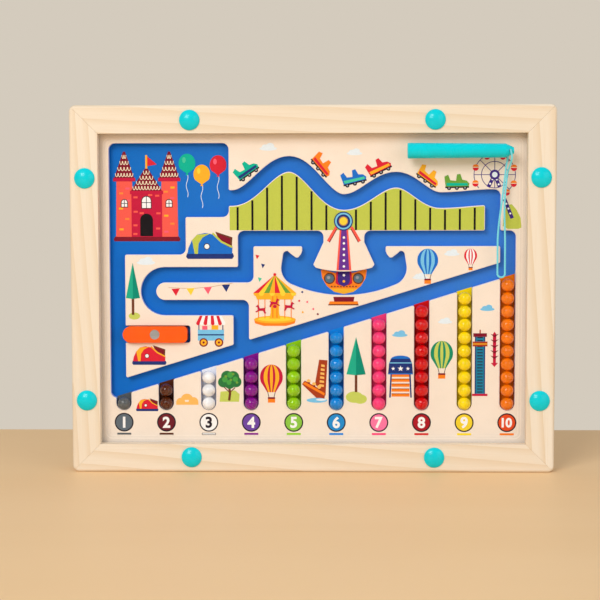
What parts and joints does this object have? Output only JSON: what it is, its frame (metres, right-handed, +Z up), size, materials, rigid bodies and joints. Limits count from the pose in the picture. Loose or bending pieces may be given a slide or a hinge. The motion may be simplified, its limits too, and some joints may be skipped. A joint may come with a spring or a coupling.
{
  "type": "magnetic bead maze board",
  "caption": "Framed tabletop maze: coloured steel beads in counting columns under a clear lid, dragged with a magnetic wand on a cord, with a sliding gate.",
  "frame": {"origin": "middle of the bottom edge, at half the thickness of the wood", "axes": "+X to the right along the bottom edge, +Y from the lid to the back panel, +Z up the board"},
  "size_m": [0.3, 0.026, 0.228],
  "materials": {
    "pine": "fine-sanded clear pine",
    "plywood": "sanded birch-faced plywood",
    "turquoise_plastic": "glossy moulded plastic",
    "zinc_steel": "bright zinc plate",
    "printed_floor": "printed sheet, satin",
    "printed_board": "printed board, satin",
    "clear_plastic": "clear moulded plastic",
    "orange_plastic": "satin moulded plastic",
    "bright_steel": "turned steel",
    "magnet": "nickel plate",
    "cord": "braided cord",
    "grey_bead_coat": "glossy coat over steel",
    "brown_bead_coat": "glossy coat over steel",
    "white_bead_coat": "glossy coat over steel",
    "purple_bead_coat": "glossy coat over steel",
    "green_bead_coat": "glossy coat over steel",
    "blue_bead_coat": "glossy coat over steel",
    "pink_bead_coat": "glossy coat over steel",
    "red_bead_coat": "glossy coat over steel",
    "yellow_bead_coat": "glossy coat over steel",
    "orange_bead_coat": "glossy coat over steel"
  },
  "bodies": {
    "board": {"top_rail": "pine", "bottom_rail": "pine", "left_rail": "pine", "right_rail": "pine", "back_panel": "plywood", "cap_nuts": "turquoise_plastic", "frame_screws": "zinc_steel", "floor_sheet": "printed_floor", "maze_surround": "printed_board", "upper_island": "printed_board", "lower_island": "printed_board", "clear_lid": "clear_plastic"},
    "gate": {"gate_slider": "orange_plastic", "gate_steel_disc": "bright_steel"},
    "wand": {"wand_body": "turquoise_plastic", "wand_magnet": "magnet", "wand_end_cap": "turquoise_plastic"},
    "cord": {"wand_cord": "cord"},
    "grey_top": {"grey_bead": "grey_bead_coat"},
    "brown_stack": {"brown_lower_beads": "brown_bead_coat"},
    "brown_top": {"brown_top_bead": "brown_bead_coat"},
    "white_stack": {"white_lower_beads": "white_bead_coat"},
    "white_top": {"white_top_bead": "white_bead_coat"},
    "purple_stack": {"purple_lower_beads": "purple_bead_coat"},
    "purple_top": {"purple_top_bead": "purple_bead_coat"},
    "green_stack": {"green_lower_beads": "green_bead_coat"},
    "green_top": {"green_top_bead": "green_bead_coat"},
    "blue_stack": {"blue_lower_beads": "blue_bead_coat"},
    "blue_top": {"blue_top_bead": "blue_bead_coat"},
    "pink_stack": {"pink_lower_beads": "pink_bead_coat"},
    "pink_top": {"pink_top_bead": "pink_bead_coat"},
    "red_stack": {"red_lower_beads": "red_bead_coat"},
    "red_top": {"red_top_bead": "red_bead_coat"},
    "yellow_stack": {"yellow_lower_beads": "yellow_bead_coat"},
    "yellow_top": {"yellow_top_bead": "yellow_bead_coat"},
    "orange_stack": {"orange_lower_beads": "orange_bead_coat"},
    "orange_top": {"orange_top_bead": "orange_bead_coat"}
  },
  "joints": [
    {"name": "gate_slide", "type": "slide", "parent": "board", "child": "gate", "axis": [1, 0, 0], "range_m": [-0.008, 0.0015]},
    {"name": "wand_lift", "type": "slide", "parent": "board", "child": "wand", "axis": [0, -1, 0], "range_m": [0, 0.08]},
    {"name": "cord_swing", "type": "hinge", "parent": "wand", "child": "cord", "pos_m": [0.1212, -0.0112, 0.1995], "axis": [0, 1, 0], "range_deg": [-8, 30]},
    {"name": "grey_top_lift", "type": "slide", "parent": "board", "child": "grey_top", "axis": [0, 0, 1], "range_m": [0, 0.0112]},
    {"name": "brown_stack_lift", "type": "slide", "parent": "board", "child": "brown_stack", "axis": [0, 0, 1], "range_m": [0, 0.003]},
    {"name": "brown_top_lift", "type": "slide", "parent": "brown_stack", "child": "brown_top", "axis": [0, 0, 1], "range_m": [0, 0.0082]},
    {"name": "white_stack_lift", "type": "slide", "parent": "board", "child": "white_stack", "axis": [0, 0, 1], "range_m": [0, 0.003]},
    {"name": "white_top_lift", "type": "slide", "parent": "white_stack", "child": "white_top", "axis": [0, 0, 1], "range_m": [0, 0.0082]},
    {"name": "purple_stack_lift", "type": "slide", "parent": "board", "child": "purple_stack", "axis": [0, 0, 1], "range_m": [0, 0.003]},
    {"name": "purple_top_lift", "type": "slide", "parent": "purple_stack", "child": "purple_top", "axis": [0, 0, 1], "range_m": [0, 0.0082]},
    {"name": "green_stack_lift", "type": "slide", "parent": "board", "child": "green_stack", "axis": [0, 0, 1], "range_m": [0, 0.003]},
    {"name": "green_top_lift", "type": "slide", "parent": "green_stack", "child": "green_top", "axis": [0, 0, 1], "range_m": [0, 0.0082]},
    {"name": "blue_stack_lift", "type": "slide", "parent": "board", "child": "blue_stack", "axis": [0, 0, 1], "range_m": [0, 0.003]},
    {"name": "blue_top_lift", "type": "slide", "parent": "blue_stack", "child": "blue_top", "axis": [0, 0, 1], "range_m": [0, 0.0082]},
    {"name": "pink_stack_lift", "type": "slide", "parent": "board", "child": "pink_stack", "axis": [0, 0, 1], "range_m": [0, 0.003]},
    {"name": "pink_top_lift", "type": "slide", "parent": "pink_stack", "child": "pink_top", "axis": [0, 0, 1], "range_m": [0, 0.0082]},
    {"name": "red_stack_lift", "type": "slide", "parent": "board", "child": "red_stack", "axis": [0, 0, 1], "range_m": [0, 0.003]},
    {"name": "red_top_lift", "type": "slide", "parent": "red_stack", "child": "red_top", "axis": [0, 0, 1], "range_m": [0, 0.0082]},
    {"name": "yellow_stack_lift", "type": "slide", "parent": "board", "child": "yellow_stack", "axis": [0, 0, 1], "range_m": [0, 0.003]},
    {"name": "yellow_top_lift", "type": "slide", "parent": "yellow_stack", "child": "yellow_top", "axis": [0, 0, 1], "range_m": [0, 0.0082]},
    {"name": "orange_stack_lift", "type": "slide", "parent": "board", "child": "orange_stack", "axis": [0, 0, 1], "range_m": [0, 0.0085]},
    {"name": "orange_top_lift", "type": "slide", "parent": "orange_stack", "child": "orange_top", "axis": [0, 0, 1], "range_m": [0, 0.0205]}
  ]
}
